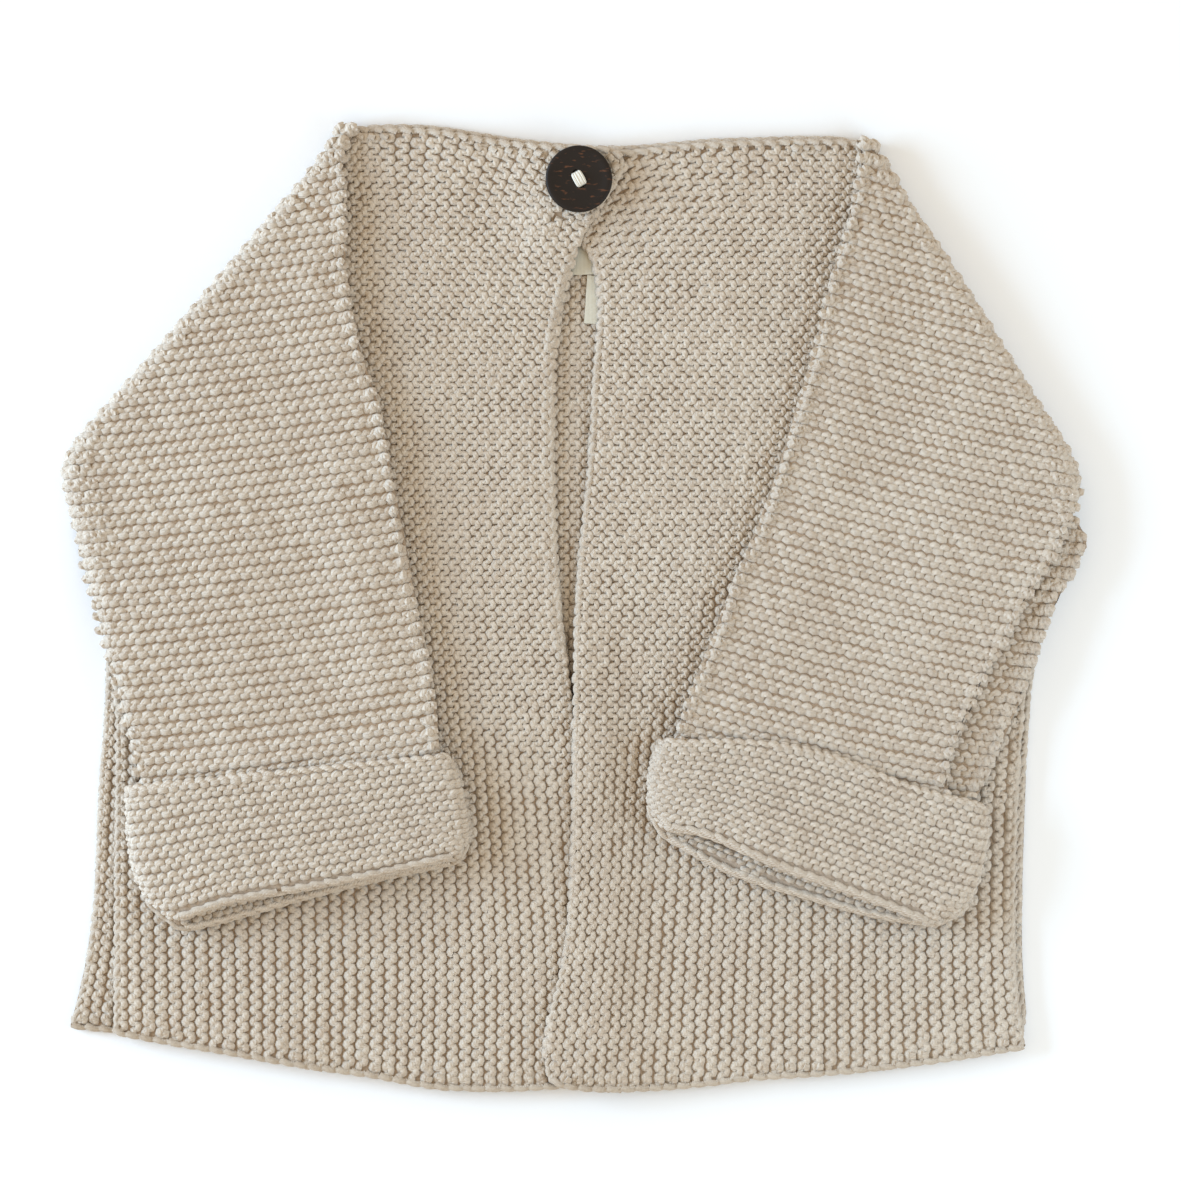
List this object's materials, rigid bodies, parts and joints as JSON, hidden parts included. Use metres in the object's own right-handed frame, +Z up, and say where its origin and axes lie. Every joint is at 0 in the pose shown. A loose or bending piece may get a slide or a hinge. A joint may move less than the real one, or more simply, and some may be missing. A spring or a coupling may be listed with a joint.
{
  "type": "baby cardigan",
  "caption": "Open garter-stitch baby cardigan laid flat, sleeves folded over the fronts, turned-up cuffs and a round button at the neck.",
  "frame": {"origin": "centre of the flat underside on which the garment rests, under the middle of its outline", "axes": "+Z up from the resting surface, +Y towards the neck, +X towards the viewer's right when the neck points away"},
  "size_m": [0.3381, 0.317, 0.0228],
  "materials": {
    "knit": "matte chunky cotton, heathered oatmeal",
    "coconut": "satin dark coconut shell",
    "thread": "cream sewing thread",
    "tape": "cream woven tape"
  },
  "bodies": {
    "root": {"back": "knit", "front_left": "knit", "front_right": "knit", "sleeve_left_under": "knit", "sleeve_right_under": "knit", "sleeve_left_upper": "knit", "sleeve_right_upper": "knit", "cuff_left": "knit", "cuff_right": "knit", "button": "coconut", "button_thread": "thread", "neck_label": "tape", "care_label": "tape"}
  },
  "joints": []
}
